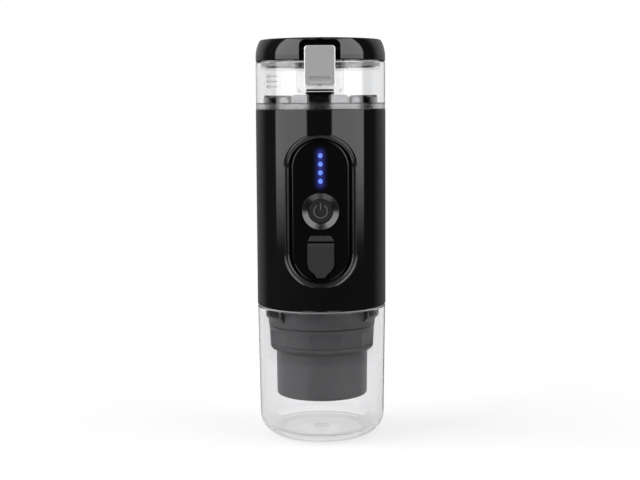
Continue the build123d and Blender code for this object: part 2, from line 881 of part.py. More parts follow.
def lid_form(inset, foot, foot_round):
    """The lid as a full solid, drawn in by a wall."""
    side_radius = tank_radius - inset
    side = lid_z + lid_side
    shoulder = (lid_shoulder_radius - inset, lid_z + lid_height - lid_crown - inset)
    top = lid_z + lid_height - inset
    outline = make_face(Curve() + [
        Line((0, foot), (side_radius, foot)),
        Line((side_radius, foot), (side_radius, side)),
        TangentArc((side_radius, side), shoulder, tangent=(0, 1)),
        TangentArc((0, top), shoulder, tangent=(1, 0)),
        Line((0, top), (0, foot)),
    ])
    outline = fillet(outline.vertices().sort_by_distance(shoulder)[0], lid_corner)
    outline = fillet(outline.vertices().sort_by_distance((side_radius, foot))[0], foot_round)
    return revolve(Plane.XZ * outline, Axis.Z)


def lid_cover():
    low = lid_z + lid_gap
    top = lid_z + lid_height
    solid = lid_form(0, low, lid_foot_round)
    cover = solid - lid_form(lid_wall, low - 2 * overrun, lid_foot_round)
    pocket_walls = latch_pocket(pocket_wall, 0, pocket_wall)
    front_walls = prism(pocket_walls, 0, pocket_reach - pocket_wall, body_radius)
    notch_half = ear_half_width + slip
    notch_y = hinge_y - knuckle_radius - slip
    rear_walls = block((-notch_half - pocket_wall, notch_y - pocket_wall, low),
                       (notch_half + pocket_wall, body_radius, top))
    cover += (front_walls + rear_walls) & solid
    cover -= prism(latch_pocket(0, 0, 0), 0, pocket_reach, body_radius + overrun)
    cover -= block((-notch_half, notch_y, low - overrun),
                   (notch_half, body_radius + overrun, top + overrun))
    cover += cross_pin(knuckle_radius, knuckle_half_width, hinge_y, hinge_z)
    cover += block((-knuckle_half_width, notch_y - root_depth, hinge_z - knuckle_radius / 2),
                   (knuckle_half_width, hinge_y, hinge_z + knuckle_radius))
    cover -= cross_pin(pin_radius + pin_gap, knuckle_half_width + overrun / 2, hinge_y, hinge_z)
    return cover - cross_pin(latch_pin_radius + pin_gap, pin_half + slip, -latch_pivot_reach, pivot_z)


def notched(radius, rear):
    """Plan of the lid's liner: a disc with a notch for the latch pocket and maybe one for the hinge."""
    front_half = pocket_half_width + pocket_wall + notch_gap
    front_reach = pocket_reach - pocket_wall - notch_gap
    plan = Circle(radius) - Pos(0, -front_reach - radius / 2) * Rectangle(2 * front_half, radius)
    if rear:
        rear_half = ear_half_width + slip + pocket_wall + slip
        rear_y = hinge_y - knuckle_radius - slip - pocket_wall - slip
        plan -= Pos(0, rear_y + radius / 2) * Rectangle(2 * rear_half, radius)
    return plan


def lid_liner():
    plate_radius = tank_radius - lid_wall - 2 * seat
    liner = extrude(Pos(0, 0, lid_z + lid_gap) * notched(plate_radius, True), liner_top)
    outside = notched(tank_bore - plug_gap, False)
    skirt = outside - offset(outside, -liner_skirt_wall)
    liner += extrude(Pos(0, 0, lid_z - plug_drop) * skirt, plug_drop + lid_gap)
    channel = offset(outside, overrun) - offset(outside, -lid_seal_depth)
    return liner - extrude(Pos(0, 0, lid_z - lid_seal_level) * channel, lid_seal_height)


def lid_seal():
    outside = notched(tank_bore - plug_gap, False)
    band = offset(outside, slip / 2) - offset(outside, seat - lid_seal_depth)
    return extrude(Pos(0, 0, lid_z - lid_seal_level + seat) * band, lid_seal_height - 2 * seat)


def lid_hinge_pin():
    return cross_pin(pin_radius, ear_half_width, hinge_y, hinge_z)


def latch_pin():
    return cross_pin(latch_pin_radius, pin_half, -latch_pivot_reach, pivot_z)


def latch():
    low = tank_z + latch_low
    back = latch_face - latch_thickness
    plan = pocket_sketch(latch_half_width, low, latch_top, latch_round, latch_round)
    plate = bevelled(plan, 0, back, latch_face, latch_edge, latch_lean)
    slope = make_face(Polyline(
        (-latch_face - overrun, low - overrun),
        (latch_lip_depth - latch_face, low - overrun),
        (latch_lip_depth - latch_face, low),
        (-latch_face, low + latch_lip),
        (-latch_face - overrun, low + latch_lip),
        close=True,
    ))
    plate -= extrude(Plane.YZ * slope, latch_half_width + overrun, both=True)
    plate -= prism(Circle(latch_notch), low + latch_lip, latch_face - groove_depth, latch_face + overrun)
    arm = latch_half_width - latch_round
    plate += cross_pin(latch_knuckle, arm, -latch_pivot_reach, pivot_z)
    plate += block((-arm, -back - root_depth, pivot_z - latch_knuckle), (arm, -latch_pivot_reach, pivot_z))
    hook_high = tank_z + catch_level - hook_gap
    tip = pocket_reach + catch_depth + slip
    plate += block((-hook_half_width, -back - root_depth, hook_high - hook_height),
                   (hook_half_width, -tip, hook_high))
    plate -= cross_pin(latch_pin_radius + pin_gap, latch_half_width + overrun, -latch_pivot_reach, pivot_z)
    groove = SlotOverall(groove_width, groove_height)
    return plate - prism(groove, low + groove_level, latch_face - groove_depth, latch_face + overrun)


def screw_spots():
    return [spot(screw_orbit, screw_bearing + index * 360 / screw_count) for index in range(screw_count)]


def cell_spots():
    return [spot(cell_orbit, bearing) for bearing in cell_bearings]


def chassis_deck():
    x, y = brew_inlet
    deck = disc(body_bore - deck_gap, deck_z, cradle_z)
    deck -= Pos(x, y, 0) * disc(hose_radius + deck_gap, deck_z - overrun, cradle_z + overrun)
    for x, y in screw_spots():
        deck -= Pos(x, y, 0) * disc(screw_radius + pin_gap, deck_z - overrun, cradle_z + overrun)
    return deck


def deck_screws():
    screw = disc(screw_radius, cradle_z - screw_length, cradle_z + root_depth)
    screw += disc(screw_head_radius, cradle_z, cradle_z + screw_head_height)
    return Compound([Pos(x, y, 0) * screw for x, y in screw_spots()])


def cradle(plate_low, rim_low):
    """Plate that carries the cells, with a low wall round each that is open towards the shell."""
    limit = disc(cell_orbit + cell_radius - cradle_rim_wall, 0, tank_z)
    plate = disc(screw_orbit - screw_head_radius - deck_gap, plate_low, plate_low + cradle_thickness)
    inner = cell_radius + cell_gap
    outer = inner + cradle_rim_wall
    wall = ring(outer, inner, rim_low, rim_low + cradle_rim)
    foot = disc(outer, plate_low, plate_low + cradle_thickness)
    for x, y in cell_spots():
        plate += Pos(x, y, 0) * foot & limit
    for x, y in cell_spots():
        plate += Pos(x, y, 0) * wall & limit
    return plate


def cell_cradle_low():
    tray = cradle(cradle_z, cell_z)
    low = cradle_z - overrun
    high = cell_z + cradle_rim + overrun
    for x, y in screw_spots():
        tray -= Pos(x, y, 0) * disc(screw_head_radius + deck_gap, low, high)
    x, y = brew_inlet
    return tray - Pos(x, y, 0) * disc(hose_radius + deck_gap, low, high)


def cell_cradle_high():
    low = stand_z - cradle_thickness
    x, y = drain_point
    tray = cradle(low, low - cradle_rim)
    tray -= front_room(low - overrun, stand_z + overrun)
    return tray - Pos(x, y, 0) * disc(hose_radius + deck_gap, low - cradle_rim - overrun, stand_z + overrun)


def battery_cells():
    can = turned([
        (0, cell_z),
        (cell_radius, cell_z, cell_round),
        (cell_radius, cell_z + cell_height, cell_round),
        (0, cell_z + cell_height),
    ])
    can += disc(cell_cap_radius, cell_z + cell_height - seat, cell_z + cell_height + cell_cap_height)
    return Compound([Pos(x, y, 0) * can for x, y in cell_spots()])


def pump_head():
    half = pump_side / 2
    head = block((-half, pump_y - half, cell_z), (half, pump_y + half, cell_z + pump_head_height))
    head = fillet(head.edges().filter_by(Axis.Z), pump_edge)
    reach = half + barb_length
    return head + Pos(0, pump_y, hose_port_z) * Rot(0, 90, 0) * Cylinder(barb_radius, 2 * reach)


def pump_motor():
    low = cell_z + pump_head_height
    return Pos(0, pump_y, 0) * turned([
        (0, low),
        (motor_radius, low),
        (motor_radius, low + motor_height, motor_round),
        (0, low + motor_height),
    ])


def hose(points):
    path = FilletPolyline(*points, radius=hose_bend)
    section = Circle(hose_radius) - Circle(hose_bore)
    return sweep(Plane(origin=path @ 0, z_dir=path % 0) * section, path=path)


def suction_hose():
    return hose([
        (-hose_offset, pump_y, pan_z - deck_gap),
        (-hose_offset, pump_y, hose_port_z),
        (-pump_side / 2 - deck_gap, pump_y, hose_port_z),
    ])


def pressure_hose():
    return hose([
        (pump_side / 2 + deck_gap, pump_y, hose_port_z),
        (hose_offset, pump_y, hose_port_z),
        (hose_offset, pump_y, brew_high + deck_gap),
    ])


nodes = (
    cup, cup_seal, base_ring, grip_pads, brew_head, brew_seal, shower_screen, holder_ring, holder_cup,
    outlet_nozzle, coffee_basket, basket_filter, body_shell, control_panel, indicator_lights,
    control_board, button_bezel, power_button, tact_switch, port_flap, flap_anchor, charge_socket,
    water_tank, tank_ring, heater_pan, pan_seal, heating_element, heat_sensor, heater_stand, lid_cover,
    lid_liner, lid_seal, lid_hinge_pin, latch_pin, latch, chassis_deck, deck_screws, cell_cradle_low,
    cell_cradle_high, battery_cells, pump_head, pump_motor, suction_hose, pressure_hose,
)

os.makedirs("parts", exist_ok=True)
for make in nodes:
    export_step(make(), "parts/" + make.__name__ + ".step")
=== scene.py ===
from math import cos, pi, radians, sin

import bmesh
import bpy
from bpy.props import FloatProperty, FloatVectorProperty, IntProperty, PointerProperty
from mathutils import Matrix, Vector


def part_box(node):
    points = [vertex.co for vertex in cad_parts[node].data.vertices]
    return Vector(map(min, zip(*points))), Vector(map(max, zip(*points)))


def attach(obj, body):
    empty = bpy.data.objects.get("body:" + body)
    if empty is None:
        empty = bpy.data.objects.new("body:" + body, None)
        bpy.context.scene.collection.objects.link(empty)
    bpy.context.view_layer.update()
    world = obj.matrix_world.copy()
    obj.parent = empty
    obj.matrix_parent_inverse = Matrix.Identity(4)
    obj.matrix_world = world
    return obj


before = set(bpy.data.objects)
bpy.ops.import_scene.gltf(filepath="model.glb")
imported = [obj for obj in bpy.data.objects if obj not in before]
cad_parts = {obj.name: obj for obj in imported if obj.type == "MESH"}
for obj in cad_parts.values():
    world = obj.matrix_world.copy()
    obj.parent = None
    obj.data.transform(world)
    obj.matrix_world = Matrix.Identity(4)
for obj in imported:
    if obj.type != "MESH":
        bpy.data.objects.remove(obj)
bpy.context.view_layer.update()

bl_info = {
    "name": "Portable Coffee Machine",
    "version": (1, 0, 0),
    "blender": (4, 5, 0),
    "location": "3D View > Sidebar > Coffee",
    "description": "Finishes, markings and studio for a portable coffee machine",
    "category": "Object",
}

MM = 0.001
NUMERAL_SHARE = 0.7        # height of a numeral to the size of its font


def reach_of(node):
    """How far a node's front stands out from the vertical axis."""
    return -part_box(node)[0].y


def middle_of(node):
    """Centre of a node's box."""
    low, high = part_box(node)
    return (low + high) / 2


def diagonal(across, along):
    """How far a point is whose distances on two axes are given."""
    return (across * across + along * along) ** 0.5


def colour(name, text, value):
    return FloatVectorProperty(
        name=name, description=text, subtype="COLOR", size=3, min=0, max=1, default=value,
    )


def length(name, text, value):
    return FloatProperty(name=name, description=text, subtype="DISTANCE", unit="LENGTH", default=value)


def angle(name, text, value):
    return FloatProperty(
        name=name, description=text, subtype="ANGLE", unit="ROTATION", default=radians(value),
    )


def edges(name, text, value):
    """Edges of a light in the studio, in degrees from the front or from the horizon."""
    turned = [radians(edge) for edge in value]
    return FloatVectorProperty(
        name=name, description=text, unit="ROTATION", size=len(value), default=turned,
    )


def share(name, text, value):
    return FloatProperty(name=name, description=text, subtype="FACTOR", min=0, max=1, default=value)


def ratio(name, text, value):
    return FloatProperty(name=name, description=text, subtype="UNSIGNED", default=value)


class FinishSettings(bpy.types.PropertyGroup):
    """Colours and gloss of the pieces."""

    shell_black: colour("Shell black", "Glossy body, lid and pocket ribs", (0.0042, 0.0042, 0.0046))
    shell_gloss: share("Shell roughness", "Roughness of the polished body and lid", 0.045)
    panel_black: colour("Panel black", "Flat control panel", (0.003, 0.003, 0.0032))
    holder_grey: colour("Holder grey", "Capsule holder and base ring", (0.095, 0.095, 0.099))
    latch_silver: colour("Latch silver", "Satin latch on the lid", (0.46, 0.46, 0.465))
    # Painted highlight colour for the latch's edges, foot and groove line.
    highlight_silver: colour("Bare silver", "Edges, foot and groove line of the latch", (0.9, 0.9, 0.9))
    rubber_grey: colour("Rubber grey", "Charging port flap", (0.016, 0.016, 0.017))
    pad_black: colour("Pad black", "Grip pads inside the cup", (0.014, 0.014, 0.015))
    ring_grey: colour("Ring grey", "Coned ring round the button", (0.060, 0.060, 0.062))
    cap_black: colour("Cap black", "Button cap, nozzle, brew head and frame", (0.007, 0.007, 0.0075))
    sign_grey: colour("Sign grey", "Power sign on the button", (0.065, 0.065, 0.068))
    light_blue: colour("Light blue", "Indicator lights", (0.13, 0.25, 1.0))
    glow_blue: colour("Glow blue", "Glow of the lights on the panel", (0.028, 0.030, 0.19))
    cup_ior: ratio("Cup IOR", "Refraction of the thin cup", 1.3)
    tank_ior: ratio("Tank IOR", "Refraction of the tank and the lid plug", 1.49)
    cup_tint: colour("Cup tint", "Wall of the cup", (0.884, 0.884, 0.892))
    # Tint of the thick floor, also used as painted shade at its edge ring and inner corner.
    floor_tint_and_shade: colour("Cup floor tint", "Thick floor of the cup", (0.66, 0.66, 0.67))
    tank_tint: colour("Tank tint", "Tank and lid plug", (0.925, 0.928, 0.934))
    steel: colour("Steel", "Pins, screws, socket, shower screen and coffee basket", (0.50, 0.50, 0.51))
    ring_steel: colour("Ring steel", "Dark polished ring and pan in the tank", (0.17, 0.17, 0.174))
    seal_white: colour("Seal white", "Silicone seals and hoses", (0.45, 0.45, 0.45))
    seal_grey: colour("Seal grey", "Seal between cup and body", (0.30, 0.30, 0.302))
    scale_grey: colour("Scale grey", "Printed numbers on the tank", (0.08, 0.08, 0.083))
    board_green: colour("Board green", "Solder mask of the board", (0.008, 0.07, 0.028))
    track_green: colour("Track green", "Tracks under the solder mask", (0.08, 0.25, 0.09))
    wrap_blue: colour("Wrap blue", "Shrink wrap of the cells", (0.03, 0.16, 0.42))
    wrap_white: colour("Wrap white", "Insulators at the cells' tops", (0.75, 0.75, 0.72))
    stand_beige: colour("Stand beige", "Heat-proof stand of the heater", (0.45, 0.40, 0.30))
    pump_white: colour("Pump white", "Head of the pump", (0.60, 0.60, 0.58))
    motor_steel: colour("Motor steel", "Can of the pump's motor", (0.50, 0.50, 0.50))
    heater_grey: colour("Heater grey", "Heating element and heat sensor", (0.30, 0.29, 0.28))


class MarkSettings(bpy.types.PropertyGroup):
    """Sizes of the power sign, the scale on the tank and other small marks."""

    sign_radius: length("Sign radius", "Middle line of the power sign's arc", 3.6 * MM)
    sign_stroke: length("Sign stroke", "Width of the power sign's lines", 0.62 * MM)
    sign_rise: length("Sign rise", "Height of the sign above the cap", 0.03 * MM)
    sign_gap: angle("Sign gap", "Half of the arc's opening at the top", 33)
    bar_low: length("Bar foot", "Foot of the sign's bar above the button's centre", 0.45 * MM)
    bar_high: length("Bar head", "Head of the sign's bar above the button's centre", 4.35 * MM)
    cap_dish: length("Cap dish", "Depth of the cap's hollow", 0.25 * MM)
    cap_dish_radius: length("Cap dish radius", "Radius of the cap's hollow", 5.8 * MM)
    glow_reach: length("Glow reach", "How far the lights glow on the panel", 6.0 * MM)
    # Level of a painted dark line of shade on the holder, over a groove like a parting line.
    collar_line: length("Collar line", "Parting line of the holder above its collar's foot", 3.5 * MM)
    flap_line: length("Flap line", "Faint line across the flap below its hinge", 2.0 * MM)
    # The next five place the latch's painted highlights: the lip at its foot, the rounding of its lower
    # corners, its side edges and the line under the finger groove. The bright edges are painted light, not
    # wear.
    latch_lip: length("Latch lip", "Height of the bright lip at the latch's foot", 1.4 * MM)
    latch_corner: length("Latch corner", "Rounding of the face's lower corners", 2.3 * MM)
    latch_edge: length("Latch edge", "Width of the latch's worn bright edges", 0.45 * MM)
    groove_level: length("Groove level", "Bright line of the finger groove above the foot", 3.3 * MM)
    groove_half: length("Groove half", "Half the length of that line", 5.6 * MM)
    pocket_depth: length("Pocket depth", "From the tank's front to the back of its pocket", 6.4 * MM)
    rib_length: length("Rib length", "Length of the ribs on the back of the pocket", 14.6 * MM)
    rib_seat: length("Rib seat", "Between the ribs and the back of the pocket", 0.02 * MM)
    rib_round: length("Rib round", "Bevel of the ribs' edges", 0.15 * MM)
    rib_rise: length("Rib rise", "How far the ribs stand out from the pocket's back", 0.7 * MM)
    rib_thin: length("Upper rib", "Height of the upper rib", 1.1 * MM)
    rib_thick: length("Lower rib", "Height of the lower rib", 1.9 * MM)
    rib_gap: length("Rib gap", "Between the latch's foot and the ribs", 0.3 * MM)
    number_height: length("Number height", "Height of the scale's numbers", 2.0 * MM)
    number_spread: ratio("Number spread", "Width of the wide numerals to a plain face", 1.4)
    print_rise: length("Print rise", "Height of the print above the tank's skin", 0.01 * MM)
    number_bearing: angle("Number bearing", "Place of the numbers round the tank, from the front", -50.8)
    line_bearing: angle("Line bearing", "Place of the scale's lines round the tank, from the front", -43.4)
    line_length: length("Line length", "Length of a scale line", 4.6 * MM)
    line_height: length("Line height", "Thickness of a scale line", 0.3 * MM)
    tank_flange: length("Tank flange", "Height of the tank's frosted foot", 2.9 * MM)
    cup_floor: length("Cup floor", "Top of the cup's thick floor", 3.9 * MM)
    floor_reach: length("Floor reach", "Radius of the flat of the cup's floor", 26.6 * MM)
    scale_level: length("Scale level", "Lowest scale line above the tank's foot", 12.0 * MM)
    scale_pitch: length("Scale pitch", "From one scale line to the next", 2.82 * MM)
    scale_first: IntProperty(name="Lowest number", description="Number at the lowest line", default=40)
    scale_step: IntProperty(name="Number step", description="Step from one number to the next", default=10)
    scale_count: IntProperty(name="Lines", description="Number of scale lines", default=3)


class StageSettings(bpy.types.PropertyGroup):
    """Camera, floor and studio light."""

    lens: FloatProperty(name="Lens", description="Focal length", subtype="DISTANCE_CAMERA", default=72.45)
    distance: length("Distance", "From the camera to the machine's axis", 0.720)
    height: length("Height", "Camera above the floor", 0.1851)
    offset: length("Offset", "Camera to the side of the machine's axis", -0.00075)
    tilt: angle("Tilt", "Camera's look below the horizon", 6.0)
    roll: angle("Roll", "Camera's lean to one side", -0.33)
    orbit: angle("Orbit", "Camera's place round the machine, from the front", 0.6)
    floor_radius: length("Floor radius", "Radius of the floor", 0.22)
    floor_white: share("Floor white", "Colour of the floor", 0.25)
    floor_glow: share("Floor glow", "Part of the floor's white that no shadow takes", 0.68)
    ambient: share("Ambient", "Even light on matt surfaces", 0.35)
    dark: share("Dark", "What gloss shows of the studio's dark parts", 0.012)
    soft: angle("Soft edge", "Softness of the studio's edges", 1.5)
    box_light: ratio("Softboxes", "Brightness of the two softboxes", 3.6)
    box_inner: angle("Softbox inner edge", "From the front", 22.25)
    box_outer: angle("Softbox outer edge", "From the front", 83.8)
    box_turn: angle("Softbox turn", "Both softboxes turned to one side", 1.9)
    box_foot: angle("Softbox foot", "Where the softboxes have faded out", -6.3)
    box_top: angle("Softbox top", "Where the softboxes turn dimmer", 50)
    box_fade: angle("Softbox fade", "Height over which the softboxes change brightness", 6)
    foot_fade: angle("Softbox foot fade", "Height over which their foot fades out", 4)
    box_low: share("Softboxes below", "Share of their light below the horizon", 0.69)
    box_high: share("Softboxes above", "Share of their light above their top", 0.14)
    low_card: edges("Low reflectors", "Inner and outer edge, foot and top", (13, 36, -44, -20))
    low_light: ratio("Low light", "Brightness of the low reflectors", 3.2)
    high_card: edges("High reflectors", "Inner and outer edge, foot and top", (8, 24, 9, 60))
    high_light: share("High light", "Brightness of the reflectors between the softboxes", 1.0)
    fill_inner: angle("Fill inner edge", "Of the light on matt surfaces, from the front", 45)
    fill_outer: angle("Fill outer edge", "Of the light on matt surfaces, from the front", 105)
    fill_level: ratio("Fill level", "Brightness of that light to the softboxes", 1.15)
    fill_lean: share("Fill lean", "How much brighter the left of that light is", 0.4)
    wing_inner: angle("Wing inner edge", "Of the walls behind, from the front", 118)
    wing_outer: angle("Wing outer edge", "Of the walls behind, from the front", 165)
    wing_rise: edges("Wing rise", "Where those walls turn brighter, from the horizon", (-3, 6))
    wing_light: share("Wings", "Brightness of the walls behind on both sides", 0.44)
    wing_low: share("Wings below", "Share of that light below the horizon", 0.45)
    behind: edges("Behind", "Where gloss seen through clear parts turns white, from the front", (108, 128))
    table_light: share("Table", "What gloss shows of the table at the machine's foot", 1.0)
    table_front: ratio("Table front", "How much brighter its front is", 1.7)
    table_dim: share("Table dimmed", "How much dimmer its middle is", 0.6)
    table_far: edges("Table far edge", "Where the table fades in, below the horizon", (42, 54))
    table_near: edges("Table near edge", "Where its middle turns dark, below the horizon", (54, 60))
    table_middle: edges("Table middle", "Where its dim middle ends, from the front", (8, 16))
    table_bright: edges("Table bright part", "Where its bright front ends, from the front", (34, 50))
    table_sides: edges("Table sides", "Where the table fades out, from the front", (60, 90))


class Socket:
    """A shader socket that works in sums; each sum adds a Math node."""

    def __init__(self, graph, socket):
        self.graph = graph
        self.socket = socket

    def math(self, operation, *others):
        return self.graph.math(operation, self, *others)

    def __add__(self, other):
        return self.math("ADD", other)

    def __sub__(self, other):
        return self.math("SUBTRACT", other)

    def __rsub__(self, other):
        return self.graph.math("SUBTRACT", other, self)

    def __mul__(self, other):
        return self.math("MULTIPLY", other)

    def __truediv__(self, other):
        return self.math("DIVIDE", other)

    def __pow__(self, other):
        return self.math("POWER", other)

    def __abs__(self):
        return self.math("ABSOLUTE")

    def __neg__(self):
        return self * -1

    __radd__ = __add__
    __rmul__ = __mul__


class Graph:
    """A node tree that is filled in by code."""

    def __init__(self, tree):
        self.tree = tree
        tree.nodes.clear()

    def node(self, kind, settings=None, sockets=None, output=0):
        made = self.tree.nodes.new("ShaderNode" + kind)
        for name, value in (settings or {}).items():
            if name == "stops":
                self.fill_ramp(made.color_ramp, value)
            else:
                setattr(made, name, value)
        for key, value in (sockets or {}).items():
            if isinstance(value, Socket):
                self.tree.links.new(value.socket, made.inputs[key])
            else:
                made.inputs[key].default_value = value
        return Socket(self, made.outputs[output]) if made.outputs else made

    def fill_ramp(self, ramp, stops):
        while len(ramp.elements) < len(stops):
            ramp.elements.new(1)
        for element, (position, level) in zip(ramp.elements, stops):
            element.position = position
            element.color = (level, level, level, 1)

    def math(self, operation, *values):
        return self.node("Math", {"operation": operation}, dict(enumerate(values)))

    def step(self, value, low, high):
        """0 below low, 1 above high and a smooth rise between."""
        return self.node("MapRange", {"interpolation_type": "SMOOTHSTEP"}, {0: value, 1: low, 2: high})

    def band(self, value, low, high, soft):
        """1 between low and high, with soft edges."""
        return self.step(value, low - soft, low + soft) * (1 - self.step(value, high - soft, high + soft))

    def window(self, turn, rise, edges, soft):
        """1 between the nearest and farthest edge and between foot and top."""
        nearest, farthest, foot, top = edges
        return self.band(turn, nearest, farthest, soft) * self.band(rise, foot, top, soft)

    def place(self, **settings):
        """Object coordinates, moved, turned or stretched by a Mapping node."""
        here = self.node("TexCoord", output="Object")
        if not settings:
            return here
        return self.node("Mapping", {}, {"Vector": here, **settings})

    def axes(self, vector):
        return [self.node("SeparateXYZ", {}, {0: vector}, index) for index in range(3)]

    def noise(self, size, vector=None, detail=2.0):
        """Noise whose blotches are about as large as size, in metres."""
        vector = vector or self.place()
        return self.node("TexNoise", {}, {"Vector": vector, "Scale": 1 / size, "Detail": detail}, "Fac")

    def bump(self, height, depth):
        return self.node("Bump", {}, {"Height": height, "Strength": 1.0, "Distance": depth}, "Normal")

    def tinted(self, base, amount, mask):
        """A colour that gets lighter or darker by up to amount where the mask leaves its middle."""
        low = (*[channel * (1 - amount) for channel in base], 1)
        high = (*[channel * (1 + amount) for channel in base], 1)
        return self.mixed(mask, low, high)

    def mixed(self, mask, low, high):
        """The first colour where the mask is 0, the second where it is 1."""
        return self.node("Mix", {"data_type": "RGBA"}, {0: mask, 6: low, 7: high}, 2)

    def surface(self, **sockets):
        """Ends the tree in one Principled shader."""
        named = {
            key.replace("_", " ").title().replace("Ior", "IOR"): value
            for key, value in sockets.items()
        }
        shader = self.node("BsdfPrincipled", {}, named)
        self.node("OutputMaterial", {}, {"Surface": shader})


def new_finish(name):
    material = bpy.data.materials.new(name)
    material.use_nodes = True
    return material, Graph(material.node_tree)


def solid(value):
    return (*value, 1)


def finish_nodes(material, *names):
    for name in names:
        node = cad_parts[name]
        for place in node.material_slots:
            place.material = material


def new_piece(name, shape, material, body):
    """Turns a bmesh into an object that rides on a body of the frame."""
    mesh = bpy.data.meshes.new(name)
    shape.to_mesh(mesh)
    shape.free()
    mesh.materials.append(material)
    piece = bpy.data.objects.new(name, mesh)
    bpy.context.scene.collection.objects.link(piece)
    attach(piece, body)


def polished_black(name, base, roughness, skin=None):
    """Black gloss plastic with a faint ripple and a haze of handling marks, duller where it rolls in."""
    material, graph = new_finish(name)
    ripple = graph.noise(7 * MM, detail=1.0)
    haze = graph.step(graph.noise(16 * MM, detail=4.0), 0.35, 0.75)
    gloss = roughness + haze * 0.03
    if skin is not None:
        x, y, z = graph.axes(graph.place())
        rolled = graph.step(skin - diagonal(x, y), 0.03 * MM, 0.25 * MM)
        gloss = gloss + rolled * 0.16
    graph.surface(
        base_color=solid(base),
        roughness=gloss,
        normal=graph.bump(ripple, 0.006 * MM),
    )
    return material


def clear_plastic(name, tint, ior, frosted=None, floor=None):
    """Clear moulded plastic with a faint waviness; maybe a frosted foot or a thick, tinted floor with
    painted shade at its edge and inner corner.
    """
    material, graph = new_finish(name)
    wave = graph.noise(22 * MM, detail=0.0)
    x, y, z = graph.axes(graph.place())
    roughness = 0.0
    tone = solid(tint)
    cover = 1.0
    if frosted is not None:
        roughness = (1 - graph.step(z, frosted - 0.1 * MM, frosted + 0.1 * MM)) * 0.22
    if floor is not None:
        top, reach, deep = floor
        radius = diagonal(x, y)
        disc = graph.band(z, top / 2, top, 0.2 * MM) * (1 - graph.step(radius, reach, reach + 0.3 * MM))
        # Painted shade: the floor's edge ring and the inner corner just above the floor are tinted darker
        # still, for the dark lines seen there.
        rim = disc * graph.step(radius, reach - 0.9 * MM, reach - 0.3 * MM)
        inner = 1 - graph.step(radius, reach + 3.5 * MM, reach + 4 * MM)
        corner = graph.band(z, top + 0.1 * MM, top + 0.9 * MM, 0.2 * MM) * inner
        wall = graph.step(z, top, top + 5 * MM)
        tone = graph.mixed(disc * 0.5 + rim * 0.5 + corner, tone, solid(deep))
        cover = 0.3 + wall.math("MAXIMUM", disc).math("MAXIMUM", corner) * 0.7
    graph.surface(
        base_color=tone,
        alpha=cover,
        roughness=roughness,
        transmission_weight=1.0,
        ior=ior,
        normal=graph.bump(wave, 0.02 * MM),
    )
    return material


def satin_grey(name, base, grain=0.25 * MM, seam_shade=None):
    """Moulded plastic with a fine spark texture, faint streaks down its walls and maybe a parting line
    painted dark as a line of shade.
    """
    material, graph = new_finish(name)
    texture = graph.noise(grain)
    flow = graph.noise(3 * MM, graph.place(Scale=(1, 1, 0.06)), 3.0)
    tone = graph.tinted(base, 0.06, flow)
    height = texture
    if seam_shade is not None:
        x, y, z = graph.axes(graph.place())
        # Painted shade: a dark band at this level, over a shallow groove in the bump, stands for the shaded
        # edge of the collar's foot as well as a parting line.
        line = graph.band(z, seam_shade - 0.2 * MM, seam_shade + 0.2 * MM, 0.1 * MM)
        tone = graph.mixed(line, tone, solid([channel * 0.3 for channel in base]))
        height = texture - line * 6
    graph.surface(
        base_color=tone,
        roughness=0.46 + (texture - 0.5) * 0.12,
        normal=graph.bump(height, 0.012 * MM),
    )
    return material


def rubber(name, base, grain=0.35 * MM):
    """Matt rubber or silicone with a fine grain."""
    material, graph = new_finish(name)
    texture = graph.noise(grain, detail=4.0)
    graph.surface(
        base_color=graph.tinted(base, 0.12, texture),
        roughness=0.62 + (texture - 0.5) * 0.2,
        specular_ior_level=0.4,
        normal=graph.bump(texture, 0.02 * MM),
    )
    return material


def lined_rubber(name, base, line):
    """Rubber of the flap, with painted light making it a little paler above a faint moulded line."""
    material, graph = new_finish(name)
    x, y, z = graph.axes(graph.place())
    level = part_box("port_flap")[1].z - line
    texture = graph.noise(0.35 * MM, detail=4.0)
    # Painted light: the flap above the moulded line is made paler, as if lit from above.
    painted_light_top = graph.step(z, level - 0.1 * MM, level + 0.1 * MM)
    groove = graph.band(z, level - 0.15 * MM, level + 0.15 * MM, 0.1 * MM)
    tone = painted_light_top * 0.35 + texture * 0.3
    graph.surface(
        base_color=graph.tinted(base, 0.45, tone),
        roughness=0.6 + (texture - 0.5) * 0.2,
        specular_ior_level=0.3,
        normal=graph.bump(texture - groove * 4, 0.02 * MM),
    )
    return material


def turned_steel(name, base):
    """Steel with fine lines round the machine's axis, as left by polishing."""
    material, graph = new_finish(name)
    lines = graph.noise(20 * MM, graph.place(Scale=(1, 1, 160)), 3.0)
    graph.surface(
        base_color=graph.tinted(base, 0.05, lines),
        metallic=1.0,
        roughness=0.12 + (lines - 0.5) * 0.10,
        normal=graph.bump(lines, 0.004 * MM),
    )
    return material


def plain_metal(name, base, roughness):
    """Metal with fine drawn lines."""
    material, graph = new_finish(name)
    grain = graph.noise(0.8 * MM, graph.place(Scale=(0.15, 1, 1)), 3.0)
    graph.surface(
        base_color=graph.tinted(base, 0.08, grain),
        metallic=1.0,
        roughness=roughness + (grain - 0.5) * 0.15,
        normal=graph.bump(grain, 0.006 * MM),
    )
    return material


